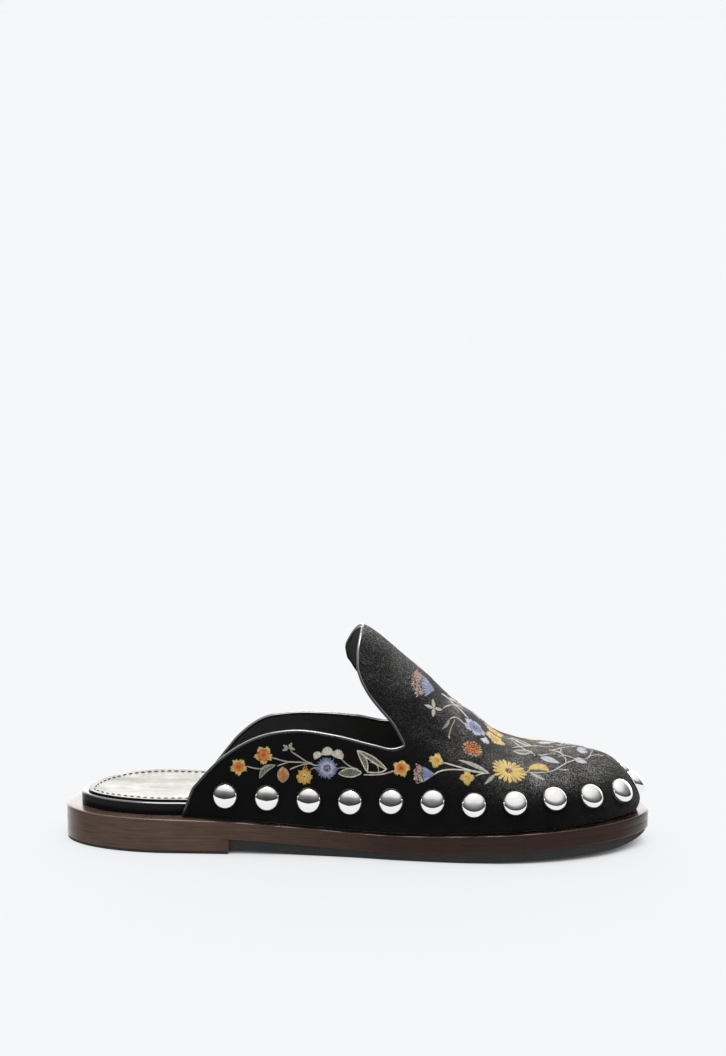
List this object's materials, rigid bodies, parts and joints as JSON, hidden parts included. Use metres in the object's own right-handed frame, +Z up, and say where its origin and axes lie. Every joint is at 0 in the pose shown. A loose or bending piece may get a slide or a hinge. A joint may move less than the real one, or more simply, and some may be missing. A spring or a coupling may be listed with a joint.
{
  "type": "velvet mule",
  "caption": "Left backless velvet loafer mule with an embroidered upper, a row of dome studs, a low stacked heel and a metallic insole.",
  "frame": {"origin": "middle of the shoe's box, on the floor that it stands on", "axes": "+X from heel to toe, +Y to the outer (little toe) side, +Z up"},
  "size_m": [0.2618, 0.0925, 0.0971],
  "materials": {
    "velvet": "black short-pile velvet",
    "sole_leather": "dark brown waxed sole edge",
    "black_leather": "polished black leather",
    "metallic_sock": "pale metallic foiled leather",
    "black_rubber": "matte black rubber",
    "chrome": "polished chrome"
  },
  "bodies": {
    "root": {"heel_lift": "black_rubber", "heel": "sole_leather", "outsole": "black_rubber", "midsole": "sole_leather", "welt": "sole_leather", "footbed": "black_leather", "insole_sock": "metallic_sock", "upper": "velvet", "stud_01": "chrome", "stud_02": "chrome", "stud_03": "chrome", "stud_04": "chrome", "stud_05": "chrome", "stud_06": "chrome", "stud_07": "chrome", "stud_08": "chrome", "stud_09": "chrome", "stud_10": "chrome", "stud_11": "chrome", "stud_12": "chrome", "stud_13": "chrome", "stud_14": "chrome", "stud_15": "chrome", "stud_16": "chrome", "stud_17": "chrome", "stud_18": "chrome", "stud_19": "chrome", "stud_20": "chrome", "stud_21": "chrome", "stud_22": "chrome", "stud_23": "chrome", "stud_24": "chrome"}
  },
  "joints": []
}
